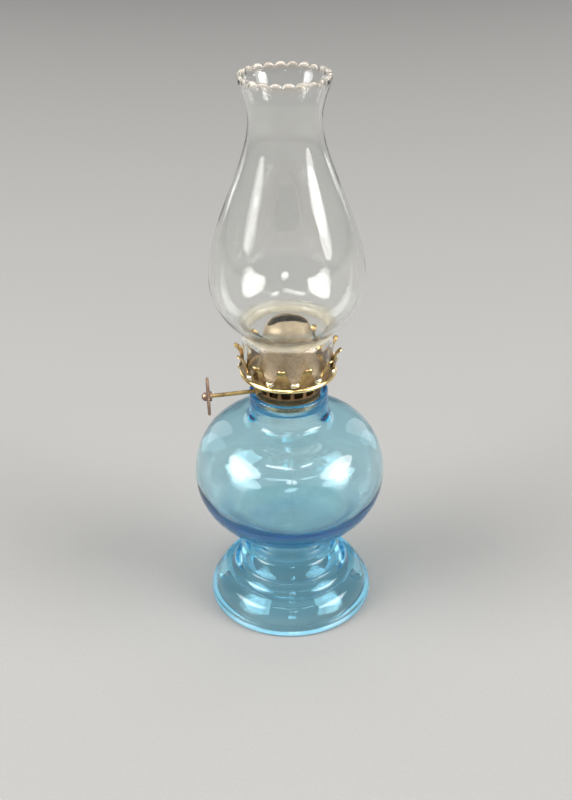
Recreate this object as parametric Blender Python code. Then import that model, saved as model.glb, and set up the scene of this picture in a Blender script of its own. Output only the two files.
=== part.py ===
"""Miniature kerosene lamp: blown glass font on a hollow stepped foot, flat-wick
brass burner with a pronged gallery, and a pear-shaped chimney with a crimped rim.

Frame: +Z up, origin on the lamp's axis at the level it stands on. The wick shaft
leaves the burner along -X. All dimensions below are in millimetres and are turned
into metres when the meshes are made.
"""

import math

import bmesh
import bpy
from mathutils import Matrix, Vector

MM = 0.001

# ---------------------------------------------------------------- overall
TOTAL_HEIGHT = 196.5
GAP = 0.3                      # clearance between neighbouring pieces

# ---------------------------------------------------------------- foot
FOOT_R = 30.25                 # widest radius, lower bead of the flange
FOOT_RING_IN_R = 26.4          # inner edge of the ring it stands on
FOOT_RING_OUT_R = 29.3         # outer edge of the ring it stands on
FLANGE_GROOVE_Z = 2.05
FLANGE_TOP_Z = 4.1
DOME_TOP = (23.3, 10.9)        # where the foot's dome ends and the steps start
STEP_B = (22.5, 19.4, 10.9, 14.0)    # lower step: outer r, inner r, z low, z high
STEP_A = (18.7, 16.3, 15.3, 22.3)    # middle step
STEP_0 = (15.9, 14.4, 22.8, 25.6)    # top step, under the waist
WAIST_R = 13.9
WAIST_Z = 27.2
FOOT_HOLLOW_Z = 30.2           # ceiling of the hollow inside the foot and waist
RING_GROOVE = 0.65             # depth of the grooves between the foot's rings

# ---------------------------------------------------------------- font
FONT_R = 34.0
FONT_WIDEST_Z = 53.6
FONT_BELLY = (21.0, 33.1)      # underside, where it turns in to the waist
FONT_SHOULDER = (17.8, 75.6)   # shoulder, where it turns up to the neck
FONT_WALL = 2.2
FONT_FLOOR_Z = 34.2
NECK_R = 13.9
NECK_BORE_R = 11.6
NECK_BASE_Z = 79.4
NECK_LEDGE_R = 10.8            # ledge that the screw ring seats on
NECK_LEDGE_Z = 82.6
LIP_Z = 87.1
LIP_GROOVE = (13.45, 85.7)       # groove that sets the rounded lip off from the neck

# ---------------------------------------------------------------- burner shell
SCREW_ROOT_R = 10.6
SCREW_CREST_R = 11.15
SCREW_IN_R = 9.95
SCREW_PITCH = 1.6
SCREW_Z = (82.9, 87.3)
SCREW_THREAD_TOP_Z = 86.2
FLOOR_Z = (83.3, 83.9)
FLOOR_R = 9.6
BAND_OUT_R = 11.25
BAND_IN_R = 10.8
BAND_Z = (86.4, 94.0)
WINDOW_COUNT = 16              # pitch of the air windows; one place is the shaft's
WINDOW_Z = (90.2, 93.0)
WINDOW_DEG = 14.0
WINDOW_PHASE = -106.0
SHAFT_POST_DEG = 9.4           # metal kept on either side of the shaft's centre line
PLATE_R = 10.45
PLATE_Z = (93.3, 93.8)

# ---------------------------------------------------------------- gallery crown
CROWN_SHEET = 0.42
CROWN_PRONGS = 12
CROWN_PHASE = -78.7
CROWN_IN_R = 10.8
CROWN_SEAT_Z = 94.55
CROWN_RIM_R = 15.5
CROWN_WALL_R = 16.2
CROWN_VALLEY_Z = 97.3
PRONG_TIP = (18.5, 103.6)

# ---------------------------------------------------------------- dome
DOME_FLANGE_R = 13.6
DOME_BASE_Z = 95.1
DOME_R = 9.1
DOME_TOP_Z = 114.5
DOME_SHEET = 0.5
DOME_SLOT = (13.6, 4.4)

# ---------------------------------------------------------------- wick raiser
WICK = (12.0, 1.8)
WICK_Z = (75.5, 111.9)
TUBE = (13.4, 3.2)
TUBE_WALL = 0.4
TUBE_Z = (80.6, 111.2)
SHAFT_Y = -3.05
SHAFT_Z = 89.3
SHAFT_R = 0.7
SHAFT_X = (-28.9, 7.3)
SHAFT_BORE_R = 0.95
STAR_X = 3.0
STAR_R = (1.35, 1.9)           # root and tip of the teeth
STAR_TEETH = 8
STAR_THICK = 1.0
HOUSING_X = 6.4
HOUSING_Y = (-5.8, -1.9)
HOUSING_Z = (86.6, 92.0)
HOUSING_SHEET = 0.45
WHEEL_R = 6.5
WHEEL_X = (-29.0, -28.1)
VENT_Y = 5.2
VENT_R = (0.55, 0.9)
VENT_Z = (82.7, 104.0)

# ---------------------------------------------------------------- chimney
CHIM_WALL = 1.3
FOLD_WALL = 2.2                # thicker glass where the fitter turns out to the bulge
CHIM_Z0 = 95.1
FITTER_R = 15.5
FITTER_TOP_Z = 110.9
BULGE_R = 26.05
BULGE_Z = 130.0
THROAT_R = 11.6
THROAT_Z = 182.5
RIM_R = 14.35
CRIMPS = 22
CRIMP_DEPTH = 1.1


# ================================================================ helpers
def bezier(p0, p1, p2, p3, count, first=True):
    """Points along a cubic curve in the (r, z) plane."""
    out = []
    for i in range(0 if first else 1, count + 1):
        t = i / count
        a, b, c, d = (1 - t) ** 3, 3 * t * (1 - t) ** 2, 3 * t * t * (1 - t), t ** 3
        out.append((a * p0[0] + b * p1[0] + c * p2[0] + d * p3[0],
                    a * p0[1] + b * p1[1] + c * p2[1] + d * p3[1]))
    return out


def arc(centre, radius, start, stop, count):
    """Points along a circular arc in the (r, z) plane, angles in degrees."""
    out = []
    for i in range(count + 1):
        a = math.radians(start + (stop - start) * i / count)
        out.append((centre[0] + radius * math.cos(a), centre[1] + radius * math.sin(a)))
    return out


def principled(name, colour, roughness, metallic=0.0, transmission=0.0):
    material = bpy.data.materials.new(name)
    material.use_nodes = True
    shader = material.node_tree.nodes["Principled BSDF"]
    shader.inputs["Base Color"].default_value = (*colour, 1.0)
    shader.inputs["Roughness"].default_value = roughness
    shader.inputs["Metallic"].default_value = metallic
    shader.inputs["Transmission Weight"].default_value = transmission
    material.diffuse_color = (*colour, 1.0)
    return material


def aqua_glass(name):
    return principled(name, (0.25, 0.66, 0.78), 0.06, transmission=0.9)


def clear_glass(name):
    return principled(name, (0.93, 0.94, 0.93), 0.04, transmission=0.95)


def brass(name, shade=1.0):
    return principled(name, (0.60 * shade, 0.44 * shade, 0.18 * shade), 0.34, metallic=1.0)


def cotton(name):
    return principled(name, (0.80, 0.76, 0.66), 0.9)


def finish_mesh(name, bm, material, parent=None, smooth_deg=40.0):
    """Turn a closed bmesh, in millimetres, into a named object in metres."""
    bmesh.ops.remove_doubles(bm, verts=bm.verts[:], dist=1e-4)
    bmesh.ops.recalc_face_normals(bm, faces=bm.faces[:])
    bmesh.ops.scale(bm, vec=(MM, MM, MM), verts=bm.verts[:])
    mesh = bpy.data.meshes.new(name)
    bm.to_mesh(mesh)
    bm.free()
    mesh.shade_smooth()
    mesh.set_sharp_from_angle(angle=math.radians(smooth_deg))
    mesh.materials.append(material)
    obj = bpy.data.objects.new(name, mesh)
    bpy.context.scene.collection.objects.link(obj)
    if parent is not None:
        obj.parent = parent
        obj.matrix_parent_inverse = Matrix.Translation(-parent.location)
    return obj


def lathe_bmesh(profile, segments, closed=False):
    """Spin a profile of (r, z) points about the Z axis."""
    bm = bmesh.new()
    verts = [bm.verts.new((r, 0.0, z)) for r, z in profile]
    edges = [bm.edges.new((a, b)) for a, b in zip(verts, verts[1:])]
    if closed:
        edges.append(bm.edges.new((verts[-1], verts[0])))
    bmesh.ops.spin(bm, geom=verts + edges, cent=(0, 0, 0), axis=(0, 0, 1),
                   dvec=(0, 0, 0), angle=2 * math.pi, steps=segments,
                   use_merge=True, use_duplicate=False)
    bmesh.ops.remove_doubles(bm, verts=bm.verts[:], dist=1e-4)
    return bm


def lathe(name, profile, segments, material, closed=False, parent=None, turn=None, smooth_deg=40.0):
    bm = lathe_bmesh(profile, segments, closed)
    if turn is not None:
        bmesh.ops.transform(bm, matrix=turn, verts=bm.verts[:])
    return finish_mesh(name, bm, material, parent, smooth_deg)


def slot_outline(width, depth, count=5):
    """Outline of a flat tube: straight sides in X, half-round ends."""
    r = depth / 2.0
    half = width / 2.0 - r
    pts = []
    for side, start in ((1, -90.0), (-1, 90.0)):
        for i in range(count + 1):
            a = math.radians(start + 180.0 * i / count)
            pts.append((side * half + r * math.cos(a), r * math.sin(a)))
    return pts


def prism_bmesh(outline, z0, z1, hole=None):
    """Extrude a closed outline between two heights, with an optional hole."""
    bm = bmesh.new()

    def ring(points, z):
        return [bm.verts.new((x, y, z)) for x, y in points]

    low, high = ring(outline, z0), ring(outline, z1)
    n = len(outline)
    for i in range(n):
        bm.faces.new((low[i], low[(i + 1) % n], high[(i + 1) % n], high[i]))
    if hole is None:
        bm.faces.new(list(reversed(low)))
        bm.faces.new(high)
        return bm
    low_in, high_in = ring(hole, z0), ring(hole, z1)
    m = len(hole)
    for i in range(m):
        bm.faces.new((low_in[(i + 1) % m], low_in[i], high_in[i], high_in[(i + 1) % m]))
    for outer, inner in ((low, low_in), (high, high_in)):
        edges = [bm.edges.get((outer[i], outer[(i + 1) % n])) for i in range(n)]
        edges += [bm.edges.get((inner[i], inner[(i + 1) % m])) for i in range(m)]
        bmesh.ops.triangle_fill(bm, edges=edges, use_beauty=True)
    return bm


def box_bmesh(low, high):
    bm = bmesh.new()
    bmesh.ops.create_cube(bm, size=1.0)
    centre = [(a + b) / 2 for a, b in zip(low, high)]
    size = [b - a for a, b in zip(low, high)]
    bmesh.ops.scale(bm, vec=size, verts=bm.verts[:])
    bmesh.ops.translate(bm, vec=centre, verts=bm.verts[:])
    return bm


def cylinder_bmesh(radius, low, high, axis, centre, sides):
    """A cylinder along 'X' or 'Z' between two stations, about a centre line."""
    bm = bmesh.new()
    bmesh.ops.create_cone(bm, cap_ends=True, segments=sides, radius1=radius,
                          radius2=radius, depth=high - low)
    if axis == "X":
        bmesh.ops.rotate(bm, cent=(0, 0, 0), matrix=Matrix.Rotation(math.pi / 2, 3, "Y"),
                         verts=bm.verts[:])
        move = ((low + high) / 2, centre[0], centre[1])
    else:
        move = (centre[0], centre[1], (low + high) / 2)
    bmesh.ops.translate(bm, vec=move, verts=bm.verts[:])
    return bm


def join_bmesh(parts):
    """Gather several separate closed shapes in one cutter."""
    out = bmesh.new()
    for part in parts:
        temp = bpy.data.meshes.new("temp")
        part.to_mesh(temp)
        part.free()
        out.from_mesh(temp)
        bpy.data.meshes.remove(temp)
    return out


def cut(target, name, bm):
    """Subtract a closed shape from an object with an exact Boolean."""
    bmesh.ops.recalc_face_normals(bm, faces=bm.faces[:])
    bmesh.ops.scale(bm, vec=(MM, MM, MM), verts=bm.verts[:])
    mesh = bpy.data.meshes.new(name)
    bm.to_mesh(mesh)
    bm.free()
    cutter = bpy.data.objects.new(name, mesh)
    bpy.context.scene.collection.objects.link(cutter)
    cutter.hide_render = True
    cutter.display_type = "WIRE"
    modifier = target.modifiers.new("cut_" + name, "BOOLEAN")
    modifier.operation = "DIFFERENCE"
    modifier.solver = "EXACT"
    modifier.object = cutter
    return cutter


def turn_to_x(x, y, z):
    """Matrix that lays a shape turned about Z along the X axis, at a point."""
    return Matrix.Translation((x, y, z)) @ Matrix.Rotation(math.pi / 2, 4, "Y")


# ================================================================ glass font
def font_outer():
    """Outside of foot, waist, font and neck, from the table upwards."""
    pts = [(FOOT_RING_OUT_R, 0.0)]
    pts += arc((FOOT_R - 1.0, 1.0), 1.0, -50, 70, 2)
    pts += [(FOOT_R - 0.45, FLANGE_GROOVE_Z)]
    pts += arc((FOOT_R - 1.3, 3.05), 1.0, -40, 75, 2)
    pts += bezier((FOOT_R - 1.7, FLANGE_TOP_Z), (FOOT_R - 2.2, 6.6), (27.6, 10.0), DOME_TOP, 4)
    for r_out, r_in, z0, z1 in (STEP_B, STEP_A, STEP_0):
        pts += [(r_out - RING_GROOVE, z0 - 0.15)]
        pts += bezier((r_out, z0 + 0.5), (r_out + 0.05, z0 + 0.45 * (z1 - z0)),
                      (r_in + 0.55 * (r_out - r_in), z1), (r_in, z1), 2)
    pts += [(WAIST_R, WAIST_Z)]
    pts += bezier((WAIST_R + 0.6, WAIST_Z + 1.9), (15.4, 30.4), (18.0, 31.2), FONT_BELLY, 2)
    pts += bezier(FONT_BELLY, (24.6, 35.7), (FONT_R, FONT_WIDEST_Z - 11.8),
                  (FONT_R, FONT_WIDEST_Z), 5, first=False)
    pts += bezier((FONT_R, FONT_WIDEST_Z), (FONT_R, FONT_WIDEST_Z + 13.0), (27.2, 73.2),
                  FONT_SHOULDER, 5, first=False)
    pts += bezier(FONT_SHOULDER, (15.3, 76.1), (NECK_R, 77.2), (NECK_R, NECK_BASE_Z), 3, first=False)
    pts += [(NECK_R - 0.05, LIP_GROOVE[1] - 1.6), LIP_GROOVE]
    pts += [(NECK_R - 0.1, LIP_Z - 0.75), (NECK_R - 0.4, LIP_Z - 0.3), (NECK_R - 1.1, LIP_Z - 0.02)]
    return pts


def font_inner():
    """Inside of neck and font, from the lip down to the floor's centre."""
    wall = FONT_WALL
    pts = [(NECK_BORE_R + 0.35, LIP_Z), (NECK_BORE_R, LIP_Z - 0.4)]
    pts += [(NECK_BORE_R, NECK_LEDGE_Z), (NECK_LEDGE_R, NECK_LEDGE_Z)]
    pts += [(NECK_LEDGE_R, 78.6)]
    pts += bezier((NECK_LEDGE_R, 78.6), (NECK_LEDGE_R + 0.2, 74.6), (14.0, 73.6), (18.2, 73.0), 2, first=False)
    pts += bezier((18.2, 73.0), (26.6, 71.0), (FONT_R - wall, FONT_WIDEST_Z + 12.0),
                  (FONT_R - wall, FONT_WIDEST_Z), 4, first=False)
    pts += bezier((FONT_R - wall, FONT_WIDEST_Z), (FONT_R - wall, FONT_WIDEST_Z - 9.0),
                  (26.6, 40.2), (19.0, 36.4), 4, first=False)
    pts += [(12.5, FONT_FLOOR_Z), (6.5, FONT_FLOOR_Z - 0.6), (0.0, FONT_FLOOR_Z - 0.6)]
    return pts


def foot_hollow():
    """Inside of the foot, from the centre of its ceiling out to the table."""
    return (bezier((0.0, FOOT_HOLLOW_Z), (5.0, FOOT_HOLLOW_Z), (9.6, FOOT_HOLLOW_Z - 1.0), (10.7, 26.6), 3)
            + bezier((10.7, 26.6), (11.1, 24.0), (12.4, 20.4), (14.6, 16.8), 2, first=False)
            + bezier((14.6, 16.8), (16.0, 14.2), (17.4, 11.0), (20.0, 9.3), 2, first=False)
            + bezier((20.0, 9.3), (24.4, 7.0), (25.8, 4.4), (FOOT_RING_IN_R, 1.2), 2, first=False)
            + [(FOOT_RING_IN_R + 0.5, 0.0)])


def build_font():
    profile = foot_hollow() + font_outer() + font_inner()
    return lathe("font", profile, 32, aqua_glass("font_glass"), smooth_deg=35.0)


# ================================================================ chimney
def chimney_outer():
    """Outside of the chimney from the fitter's edge up to the rim."""
    pts = [(FITTER_R - 0.4, CHIM_Z0), (FITTER_R, CHIM_Z0 + 0.5)]
    pts += [(FITTER_R, 103.0), (FITTER_R, FITTER_TOP_Z - 1.0)]
    pts += bezier((FITTER_R + 0.3, FITTER_TOP_Z), (19.2, 113.5), (BULGE_R, BULGE_Z - 8.0),
                  (BULGE_R, BULGE_Z), 5)
    pts += bezier((BULGE_R, BULGE_Z), (BULGE_R, BULGE_Z + 18.1), (THROAT_R, THROAT_Z - 14.6),
                  (THROAT_R, THROAT_Z), 6, first=False)
    pts += bezier((THROAT_R, THROAT_Z), (THROAT_R, THROAT_Z + 5.7), (RIM_R + 0.2, TOTAL_HEIGHT - 4.0),
                  (RIM_R, TOTAL_HEIGHT - CRIMP_DEPTH / 2), 3, first=False)
    return pts


def chimney_inner():
    """Inside of the chimney from the rim down to the fitter's edge."""
    w = CHIM_WALL
    pts = bezier((RIM_R - w, TOTAL_HEIGHT - CRIMP_DEPTH / 2), (RIM_R + 0.2 - w, TOTAL_HEIGHT - 4.4),
                 (THROAT_R - w, THROAT_Z + 5.7), (THROAT_R - w, THROAT_Z), 2)
    pts += bezier((THROAT_R - w, THROAT_Z), (THROAT_R - w, THROAT_Z - 14.6), (BULGE_R - w, BULGE_Z + 17.6),
                  (BULGE_R - w, BULGE_Z), 5, first=False)
    pts += bezier((BULGE_R - w, BULGE_Z), (BULGE_R - w, BULGE_Z - 7.4), (19.0 - w, 114.7),
                  (FITTER_R + 0.3 - FOLD_WALL, FITTER_TOP_Z + 0.4), 4, first=False)
    pts += [(FITTER_R - FOLD_WALL, FITTER_TOP_Z - 1.2), (FITTER_R - w, FITTER_TOP_Z - 3.4), (FITTER_R - w, CHIM_Z0)]
    return pts


def build_chimney():
    segments = 2 * CRIMPS
    bm = lathe_bmesh(chimney_outer() + chimney_inner(), segments, closed=True)
    top = TOTAL_HEIGHT - CRIMP_DEPTH / 2
    for v in bm.verts:
        if v.co.z > top - 0.05:
            a = math.atan2(v.co.y, v.co.x)
            v.co.z += math.cos(a * CRIMPS) * CRIMP_DEPTH / 2
    return finish_mesh("chimney", bm, clear_glass("chimney_glass"))


# ================================================================ burner shell
def build_screw_ring():
    """Threaded ring: a helical ridge on the outside, plain inside."""
    cols, rows = 30, 10
    z0, z1 = SCREW_Z
    bm = bmesh.new()

    def thread_r(a, z):
        turn = (z - z0) / SCREW_PITCH - a / (2 * math.pi)
        wave = 1.0 - abs(2.0 * (turn - math.floor(turn)) - 1.0)
        fade = min(1.0, max(0.0, (z - z0) / 0.5)) * min(1.0, max(0.0, (SCREW_THREAD_TOP_Z - z) / 0.5))
        return SCREW_ROOT_R + (SCREW_CREST_R - SCREW_ROOT_R) * wave * fade

    levels = [z0 + (SCREW_THREAD_TOP_Z - z0) * i / rows for i in range(rows + 1)]
    rings = []
    for z in levels:
        rings.append([(thread_r(2 * math.pi * k / cols, z), z) for k in range(cols)])
    for r, z in ((BAND_IN_R - GAP, SCREW_THREAD_TOP_Z + 0.1), (BAND_IN_R - GAP, z1), (SCREW_IN_R, z1), (SCREW_IN_R, z0)):
        rings.append([(r, z)] * cols)
    verts = [[bm.verts.new((r * math.cos(2 * math.pi * k / cols), r * math.sin(2 * math.pi * k / cols), z))
              for k, (r, z) in enumerate(ring)] for ring in rings]
    count = len(verts)
    for i in range(count):
        a, b = verts[i], verts[(i + 1) % count]
        for k in range(cols):
            bm.faces.new((a[k], a[(k + 1) % cols], b[(k + 1) % cols], b[k]))
    return finish_mesh("screw_ring", bm, brass("screw_ring_brass"), burner)


def build_floor_plate():
    hole = slot_outline(TUBE[0] + 2 * GAP, TUBE[1] + 2 * GAP)
    ring = [(FLOOR_R * math.cos(2 * math.pi * k / 32), FLOOR_R * math.sin(2 * math.pi * k / 32)) for k in range(32)]
    obj = finish_mesh("floor_plate", prism_bmesh(ring, *FLOOR_Z, hole=hole), brass("floor_plate_brass"), burner)
    cut(obj, "cut_vent_floor", cylinder_bmesh(VENT_R[1] + GAP, FLOOR_Z[0] - 1, FLOOR_Z[1] + 1, "Z", (0, VENT_Y), 12))
    return obj


def build_air_band():
    profile = [(BAND_OUT_R, BAND_Z[0]), (BAND_OUT_R, BAND_Z[1]), (BAND_IN_R, BAND_Z[1]), (BAND_IN_R, BAND_Z[0])]
    obj = lathe("air_band", profile, 48, brass("air_band_brass", 0.8), closed=True, parent=burner)
    cutters = []
    shaft_place = math.degrees(math.atan2(SHAFT_Y, -math.sqrt(BAND_OUT_R ** 2 - SHAFT_Y ** 2)))
    width = 2 * BAND_OUT_R * math.sin(math.radians(WINDOW_DEG / 2))
    for k in range(WINDOW_COUNT):
        deg = WINDOW_PHASE + 360.0 * k / WINDOW_COUNT
        off = (deg - shaft_place + 180.0) % 360.0 - 180.0
        if abs(off) < 180.0 / WINDOW_COUNT:
            continue
        low = max(-WINDOW_DEG / 2, SHAFT_POST_DEG - off) if off > 0 else -WINDOW_DEG / 2
        low = BAND_OUT_R * math.sin(math.radians(low))
        box = box_bmesh((BAND_IN_R - 0.6, low, WINDOW_Z[0]), (BAND_OUT_R + 1.0, width / 2, WINDOW_Z[1]))
        bmesh.ops.rotate(box, cent=(0, 0, 0), matrix=Matrix.Rotation(math.radians(deg), 3, "Z"), verts=box.verts[:])
        cutters.append(box)
    cut(obj, "cut_air_windows", join_bmesh(cutters))
    cut(obj, "cut_shaft_hole", cylinder_bmesh(1.35, -14.0, -8.0, "X", (SHAFT_Y, SHAFT_Z), 14))
    return obj


def build_diffuser_plate():
    hole = slot_outline(TUBE[0] + 2 * GAP, TUBE[1] + 2 * GAP)
    ring = [(PLATE_R * math.cos(2 * math.pi * k / 32), PLATE_R * math.sin(2 * math.pi * k / 32)) for k in range(32)]
    obj = finish_mesh("diffuser_plate", prism_bmesh(ring, *PLATE_Z, hole=hole), brass("diffuser_plate_brass"), burner)
    holes = [cylinder_bmesh(VENT_R[1] + GAP, PLATE_Z[0] - 1, PLATE_Z[1] + 1, "Z", (0, VENT_Y), 12)]
    for side in (1, -1):
        for k in range(5):
            a = math.radians(side * (90.0 + 26.0 * (k - 2)))
            if side == 1 and k == 2:
                continue
            holes.append(cylinder_bmesh(0.75, PLATE_Z[0] - 1, PLATE_Z[1] + 1, "Z",
                                        (7.6 * math.cos(a), 7.6 * math.sin(a)), 6))
    cut(obj, "cut_air_holes", join_bmesh(holes))
    return obj


def crown_path():
    """Middle of the crown's sheet, from the seat's inner edge to a prong's tip."""
    seat = [(CROWN_IN_R, CROWN_SEAT_Z), (14.5, CROWN_SEAT_Z - 0.05),
            (CROWN_RIM_R, CROWN_SEAT_Z)]
    wall = bezier((CROWN_RIM_R, CROWN_SEAT_Z), (16.15, CROWN_SEAT_Z + 0.2), (CROWN_WALL_R + 0.15, 95.9),
                  (CROWN_WALL_R, 97.4), 4, first=False)
    prong = bezier((CROWN_WALL_R, 97.4), (15.9, 100.6), (16.3, 102.6), PRONG_TIP, 10, first=False)
    return seat, wall + prong


def along(path, distance):
    """Point at a distance along a polyline."""
    left = distance
    for a, b in zip(path, path[1:]):
        step = math.dist(a, b)
        if left <= step:
            t = left / step
            return (a[0] + (b[0] - a[0]) * t, a[1] + (b[1] - a[1]) * t)
        left -= step
    return path[-1]


def build_gallery_crown():
    seat, rise = crown_path()
    rise = [seat[-1]] + rise
    full = sum(math.dist(a, b) for a, b in zip(rise, rise[1:]))
    valley = 0.0
    for a, b in zip(rise, rise[1:]):
        if b[1] > CROWN_VALLEY_Z:
            break
        valley += math.dist(a, b)
    # columns of one prong: angle from its centre line, share of the full height
    pitch = 360.0 / CROWN_PRONGS
    columns = ((-pitch / 2, 0.0), (-9.0, 0.15), (-4.4, 1.0), (4.4, 1.0), (9.0, 0.15))
    rows = 5
    bm = bmesh.new()
    grid = []
    for k in range(CROWN_PRONGS):
        for offset, share in columns:
            a = math.radians(CROWN_PHASE + pitch * k + offset)
            height = valley + (full - valley) * share
            line = list(seat[:-1]) + [along(rise, height * i / rows) for i in range(rows + 1)]
            grid.append([bm.verts.new((r * math.cos(a), r * math.sin(a), z)) for r, z in line])
    count = len(grid)
    for i in range(count):
        a, b = grid[i], grid[(i + 1) % count]
        for j in range(len(a) - 1):
            bm.faces.new((a[j], b[j], b[j + 1], a[j + 1]))
    obj = finish_mesh("gallery_crown", bm, brass("gallery_crown_brass", 1.1), burner)
    solidify = obj.modifiers.new("sheet", "SOLIDIFY")
    solidify.thickness = CROWN_SHEET * MM
    solidify.offset = 0.0
    solidify.use_even_offset = True
    return obj


def build_flame_dome():
    """Bell-shaped deflector with a rounded slot over the wick."""
    t = DOME_SHEET
    inner = bezier((0.0, DOME_TOP_Z - t), (7.2, DOME_TOP_Z - t), (DOME_R - t, 110.2), (DOME_R + 0.1 - t, 103.0), 5)
    inner += bezier((DOME_R + 0.1 - t, 103.0), (DOME_R + 0.2 - t, 100.4), (9.6 - t, 98.0), (10.6 - t, 96.3), 2, first=False)
    inner += [(11.2, DOME_BASE_Z)]
    outer = [(DOME_FLANGE_R, DOME_BASE_Z), (DOME_FLANGE_R, DOME_BASE_Z + t), (11.9, DOME_BASE_Z + t + 0.1)]
    outer += bezier((10.6, 96.9), (9.6, 98.6), (DOME_R + 0.2, 100.6), (DOME_R + 0.1, 103.0), 2)
    outer += bezier((DOME_R + 0.1, 103.0), (DOME_R, 110.6), (7.6, DOME_TOP_Z), (0.0, DOME_TOP_Z), 6, first=False)
    obj = lathe("flame_dome", inner + outer, 28, brass("flame_dome_brass"), parent=burner)
    slot = prism_bmesh(slot_outline(*DOME_SLOT, count=6), DOME_TOP_Z - 7.5, DOME_TOP_Z + 2)
    cut(obj, "cut_dome_slot", slot)
    return obj


# ================================================================ wick raiser
def build_wick_tube():
    outer = slot_outline(*TUBE)
    inner = slot_outline(TUBE[0] - 2 * TUBE_WALL, TUBE[1] - 2 * TUBE_WALL)
    obj = finish_mesh("wick_tube", prism_bmesh(outer, *TUBE_Z, hole=inner), brass("wick_tube_brass", 0.9), burner)
    windows = [box_bmesh((x - 0.9, -3.0, SHAFT_Z - 2.3), (x + 0.9, -0.6, SHAFT_Z + 2.3)) for x in (-STAR_X, STAR_X)]
    cut(obj, "cut_tube_windows", join_bmesh(windows))
    return obj


def build_tube_ferrule():
    outer = slot_outline(17.2, 6.8)
    inner = slot_outline(TUBE[0] + 2 * GAP, TUBE[1] + 2 * GAP)
    return finish_mesh("tube_ferrule", prism_bmesh(outer, FLOOR_Z[1] + GAP, FLOOR_Z[1] + GAP + 0.7, hole=inner),
                       brass("tube_ferrule_brass"), burner)


def build_vent_tube():
    profile = [(VENT_R[1], VENT_Z[0]), (VENT_R[1], VENT_Z[1]), (VENT_R[0], VENT_Z[1]), (VENT_R[0], VENT_Z[0])]
    return lathe("vent_tube", profile, 14, brass("vent_tube_brass"), closed=True, parent=burner,
                 turn=Matrix.Translation((0, VENT_Y, 0)))


def build_sprocket_housing():
    """Pressed box in front of the wick tube; its back is open to the tube."""
    s = HOUSING_SHEET
    bm = box_bmesh((-HOUSING_X, HOUSING_Y[0], HOUSING_Z[0]), (HOUSING_X, HOUSING_Y[1], HOUSING_Z[1]))
    obj = finish_mesh("sprocket_housing", bm, brass("sprocket_housing_brass"), burner)
    inside = box_bmesh((-HOUSING_X + s, HOUSING_Y[0] + s, HOUSING_Z[0] + s), (HOUSING_X - s, HOUSING_Y[1] + 2, HOUSING_Z[1] - s))
    cut(obj, "cut_housing_inside", inside)
    cut(obj, "cut_housing_ears", cylinder_bmesh(1.05, -HOUSING_X - 2, HOUSING_X + 2, "X", (SHAFT_Y, SHAFT_Z), 14))
    return obj


def build_shaft_bushing():
    """Flanged eyelet that carries the shaft through the band."""
    profile = [(SHAFT_BORE_R, -2.3), (1.65, -2.3), (1.65, -1.85), (1.15, -1.85), (1.15, 0.0), (SHAFT_BORE_R, 0.0)]
    return lathe("shaft_bushing", profile, 18, brass("shaft_bushing_brass"), closed=True, parent=burner,
                 turn=turn_to_x(-9.9, SHAFT_Y, SHAFT_Z))


def build_wick_shaft():
    profile = [(0.0, SHAFT_X[0]), (SHAFT_R - 0.15, SHAFT_X[0]), (SHAFT_R, SHAFT_X[0] + 0.2),
               (SHAFT_R, SHAFT_X[1] - 0.4), (0.3, SHAFT_X[1]), (0.0, SHAFT_X[1])]
    return lathe("wick_shaft", profile, 16, brass("wick_shaft_brass", 0.85), parent=shaft_axis,
                 turn=turn_to_x(0, SHAFT_Y, SHAFT_Z))


def build_star_wheel(name, x):
    """Toothed disc whose points bite into the flat of the wick."""
    root, tip = STAR_R
    count = 2 * STAR_TEETH
    outline = []
    for k in range(count):
        r = tip if k % 2 == 0 else root
        a = 2 * math.pi * k / count
        outline.append((r * math.cos(a), r * math.sin(a)))
    bore = [(SHAFT_BORE_R * math.cos(2 * math.pi * k / 16), SHAFT_BORE_R * math.sin(2 * math.pi * k / 16)) for k in range(16)]
    bm = prism_bmesh(outline, -STAR_THICK / 2, STAR_THICK / 2, hole=bore)
    bmesh.ops.transform(bm, matrix=turn_to_x(x, SHAFT_Y, SHAFT_Z), verts=bm.verts[:])
    return finish_mesh(name, bm, brass(name + "_brass", 0.8), shaft_axis)


def build_shaft_collar():
    profile = [(SHAFT_BORE_R, -9.2), (1.5, -9.2), (1.5, -8.4), (SHAFT_BORE_R, -8.4)]
    return lathe("shaft_collar", profile, 18, brass("shaft_collar_brass"), closed=True, parent=shaft_axis,
                 turn=turn_to_x(0, SHAFT_Y, SHAFT_Z))


def build_thumbwheel():
    """Thin milled disc on the shaft's end, with a short hub."""
    x0, x1 = WHEEL_X
    profile = [(SHAFT_BORE_R, x0), (WHEEL_R, x0), (WHEEL_R, x1), (1.8, x1), (1.6, x1 + 0.8), (SHAFT_BORE_R, x1 + 0.8)]
    bm = lathe_bmesh(profile, 48, closed=True)
    for v in bm.verts:
        r = math.hypot(v.co.x, v.co.y)
        if r > WHEEL_R - 0.1:
            k = round(math.atan2(v.co.y, v.co.x) / (2 * math.pi / 48))
            if k % 2:
                v.co.x *= (WHEEL_R - 0.22) / WHEEL_R
                v.co.y *= (WHEEL_R - 0.22) / WHEEL_R
    bmesh.ops.transform(bm, matrix=turn_to_x(0, SHAFT_Y, SHAFT_Z), verts=bm.verts[:])
    return finish_mesh("thumbwheel", bm, principled("thumbwheel_brass", (0.42, 0.27, 0.20), 0.45, metallic=0.9),
                       shaft_axis)


def build_thumbwheel_rivet():
    x = WHEEL_X[0] - GAP
    profile = [(0.0, x), (1.55, x), (1.55, x - 0.35), (1.1, x - 0.9), (0.5, x - 1.4), (0.0, x - 1.5)]
    return lathe("thumbwheel_rivet", profile, 18, brass("thumbwheel_rivet_brass", 0.8), parent=shaft_axis,
                 turn=turn_to_x(0, SHAFT_Y, SHAFT_Z))


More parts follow.
